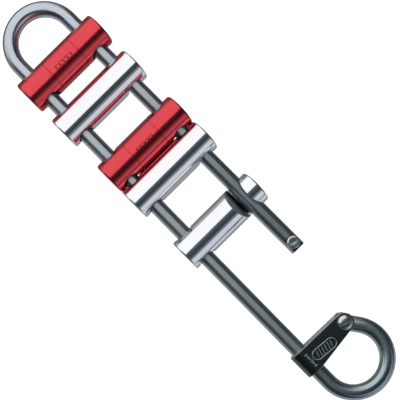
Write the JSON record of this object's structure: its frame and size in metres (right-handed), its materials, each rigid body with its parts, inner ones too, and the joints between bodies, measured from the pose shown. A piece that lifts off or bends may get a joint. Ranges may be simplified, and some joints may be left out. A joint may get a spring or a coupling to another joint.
{
  "type": "brake bar rack descender",
  "caption": "Rope descender: a bent steel rod with a long and a short leg and a plated eye, crossed by sliding brake bars, some of which swing open on the long leg.",
  "frame": {"origin": "middle of the object's footprint, on the plane that the bars' undersides lie in", "axes": "+X from the eye to the U bend, along the rack; +Y from the short leg to the long leg; +Z out of the front, where the screw heads are"},
  "size_m": [0.2917, 0.056, 0.0195],
  "materials": {
    "stainless_rod": "smooth drawn stainless rod, satin to bright",
    "screw_steel": "bright turned steel with light turning marks",
    "polished_aluminium": "polished, with fine turning lines",
    "red_anodised": "red anodised, semi-gloss",
    "black_plate": "black finish with bright sheared edges",
    "dark_polymer": "dark matt bearing polymer"
  },
  "bodies": {
    "frame": {"frame_rod": "stainless_rod", "eye_plate": "black_plate", "eye_screw": "screw_steel", "eye_nut": "screw_steel", "stop_screw": "screw_steel"},
    "bar_1": {"captive_bar_1": "red_anodised"},
    "bar_3": {"captive_bar_3": "red_anodised"},
    "carrier_2": {"pivot_bush_2": "dark_polymer"},
    "bar_2": {"swing_bar_2": "polished_aluminium"},
    "carrier_4": {"pivot_bush_4": "dark_polymer"},
    "bar_4": {"swing_bar_4": "polished_aluminium"},
    "carrier_5": {"pivot_bush_5": "dark_polymer"},
    "bar_5": {"swing_bar_5": "polished_aluminium"}
  },
  "joints": [
    {"name": "bar_1_slide", "type": "slide", "parent": "frame", "child": "bar_1", "axis": [1, 0, 0], "range_m": [-0.0074, 0.006]},
    {"name": "bar_3_slide", "type": "slide", "parent": "frame", "child": "bar_3", "axis": [1, 0, 0], "range_m": [0, 0.0159]},
    {"name": "bar_2_slide", "type": "slide", "parent": "frame", "child": "carrier_2", "axis": [1, -0.0052, 0], "range_m": [-0.0159, 0.0074]},
    {"name": "bar_2_swing", "type": "hinge", "parent": "carrier_2", "child": "bar_2", "pos_m": [0.0792, 0.01913, 0.00975], "axis": [-1, 0.0052, 0], "range_deg": [0, 336]},
    {"name": "bar_4_slide", "type": "slide", "parent": "frame", "child": "carrier_4", "axis": [1, -0.0052, 0], "range_m": [-0.0203, 0]},
    {"name": "bar_4_swing", "type": "hinge", "parent": "carrier_4", "child": "bar_4", "pos_m": [0.0238, 0.01942, 0.00975], "axis": [-1, 0.0052, 0], "range_deg": [0, 336]},
    {"name": "bar_5_slide", "type": "slide", "parent": "frame", "child": "carrier_5", "axis": [1, -0.0052, 0], "range_m": [-0.0228, 0.0203]},
    {"name": "bar_5_swing", "type": "hinge", "parent": "carrier_5", "child": "bar_5", "pos_m": [-0.0163, 0.01963, 0.00975], "axis": [1, -0.0052, 0], "range_deg": [0, 336]}
  ]
}
